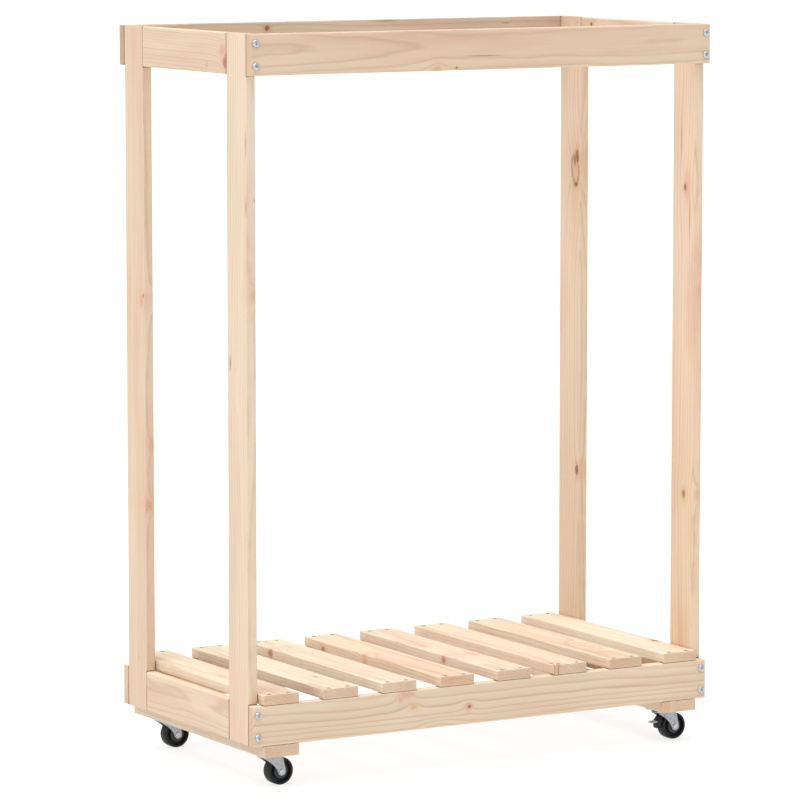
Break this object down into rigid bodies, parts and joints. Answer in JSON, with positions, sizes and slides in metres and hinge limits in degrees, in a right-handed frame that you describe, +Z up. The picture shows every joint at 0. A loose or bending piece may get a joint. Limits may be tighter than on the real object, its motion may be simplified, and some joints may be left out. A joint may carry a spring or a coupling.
{
  "type": "firewood log rack",
  "caption": "Open pine firewood rack: corner posts, long and side rails, a slatted floor and swivel casters, one end's pair with a foot brake.",
  "frame": {"origin": "on the floor, under the middle of the rack's outline", "axes": "+X along the rack from left to right, +Y from front to back, +Z up"},
  "size_m": [0.765, 0.406, 1.066],
  "materials": {
    "pine": "planed, untreated",
    "zinc_steel": "zinc plated, satin",
    "black_plastic": "moulded, satin"
  },
  "bodies": {
    "frame": {"caster_board_left": "pine", "caster_board_right": "pine", "caster_plate_back_left": "zinc_steel", "caster_plate_back_right": "zinc_steel", "caster_plate_front_left": "zinc_steel", "caster_plate_front_right": "zinc_steel", "post_back_left": "pine", "post_back_right": "pine", "post_front_left": "pine", "post_front_right": "pine", "rail_bottom_back": "pine", "rail_bottom_front": "pine", "rail_screw_bottom_back_left_lower": "zinc_steel", "rail_screw_bottom_back_left_upper": "zinc_steel", "rail_screw_bottom_back_right_lower": "zinc_steel", "rail_screw_bottom_back_right_upper": "zinc_steel", "rail_screw_bottom_front_left_lower": "zinc_steel", "rail_screw_bottom_front_left_upper": "zinc_steel", "rail_screw_bottom_front_right_lower": "zinc_steel", "rail_screw_bottom_front_right_upper": "zinc_steel", "rail_screw_top_back_left_lower": "zinc_steel", "rail_screw_top_back_left_upper": "zinc_steel", "rail_screw_top_back_right_lower": "zinc_steel", "rail_screw_top_back_right_upper": "zinc_steel", "rail_screw_top_front_left_lower": "zinc_steel", "rail_screw_top_front_left_upper": "zinc_steel", "rail_screw_top_front_right_lower": "zinc_steel", "rail_screw_top_front_right_upper": "zinc_steel", "rail_top_back": "pine", "rail_top_front": "pine", "side_rail_bottom_left": "pine", "side_rail_bottom_right": "pine", "side_rail_top_left": "pine", "side_rail_top_right": "pine", "slat_1": "pine", "slat_2": "pine", "slat_3": "pine", "slat_4": "pine", "slat_5": "pine", "slat_6": "pine", "slat_7": "pine", "slat_8": "pine", "swivel_rivet_back_left": "zinc_steel", "swivel_rivet_back_right": "zinc_steel", "swivel_rivet_front_left": "zinc_steel", "swivel_rivet_front_right": "zinc_steel"},
    "swivel_front_left": {"fork_front_left": "zinc_steel", "axle_front_left": "zinc_steel"},
    "wheel_front_left": {"wheel_front_left": "black_plastic"},
    "swivel_front_right": {"fork_front_right": "zinc_steel", "axle_front_right": "zinc_steel"},
    "wheel_front_right": {"wheel_front_right": "black_plastic"},
    "brake_front_right": {"brake_lever_front_right": "black_plastic"},
    "swivel_back_left": {"fork_back_left": "zinc_steel", "axle_back_left": "zinc_steel"},
    "wheel_back_left": {"wheel_back_left": "black_plastic"},
    "swivel_back_right": {"fork_back_right": "zinc_steel", "axle_back_right": "zinc_steel"},
    "wheel_back_right": {"wheel_back_right": "black_plastic"},
    "brake_back_right": {"brake_lever_back_right": "black_plastic"}
  },
  "joints": [
    {"name": "swivel_turn_front_left", "type": "hinge", "parent": "frame", "child": "swivel_front_left", "pos_m": [-0.3353, -0.1585, 0.0425], "axis": [0, 0, 1], "continuous": true},
    {"name": "wheel_spin_front_left", "type": "hinge", "parent": "swivel_front_left", "child": "wheel_front_left", "pos_m": [-0.3203, -0.1585, 0.02], "axis": [0, 1, 0], "continuous": true},
    {"name": "swivel_turn_front_right", "type": "hinge", "parent": "frame", "child": "swivel_front_right", "pos_m": [0.3353, -0.1585, 0.0425], "axis": [0, 0, 1], "continuous": true},
    {"name": "wheel_spin_front_right", "type": "hinge", "parent": "swivel_front_right", "child": "wheel_front_right", "pos_m": [0.3503, -0.1585, 0.02], "axis": [0, 1, 0], "continuous": true},
    {"name": "brake_press_front_right", "type": "hinge", "parent": "swivel_front_right", "child": "brake_front_right", "pos_m": [0.3323, -0.1585, 0.037], "axis": [0, -1, 0], "range_deg": [0, 8]},
    {"name": "swivel_turn_back_left", "type": "hinge", "parent": "frame", "child": "swivel_back_left", "pos_m": [-0.3353, 0.1585, 0.0425], "axis": [0, 0, 1], "continuous": true},
    {"name": "wheel_spin_back_left", "type": "hinge", "parent": "swivel_back_left", "child": "wheel_back_left", "pos_m": [-0.3203, 0.1585, 0.02], "axis": [0, 1, 0], "continuous": true},
    {"name": "swivel_turn_back_right", "type": "hinge", "parent": "frame", "child": "swivel_back_right", "pos_m": [0.3353, 0.1585, 0.0425], "axis": [0, 0, 1], "continuous": true},
    {"name": "wheel_spin_back_right", "type": "hinge", "parent": "swivel_back_right", "child": "wheel_back_right", "pos_m": [0.3503, 0.1585, 0.02], "axis": [0, 1, 0], "continuous": true},
    {"name": "brake_press_back_right", "type": "hinge", "parent": "swivel_back_right", "child": "brake_back_right", "pos_m": [0.3323, 0.1585, 0.037], "axis": [0, -1, 0], "range_deg": [0, 8]}
  ]
}
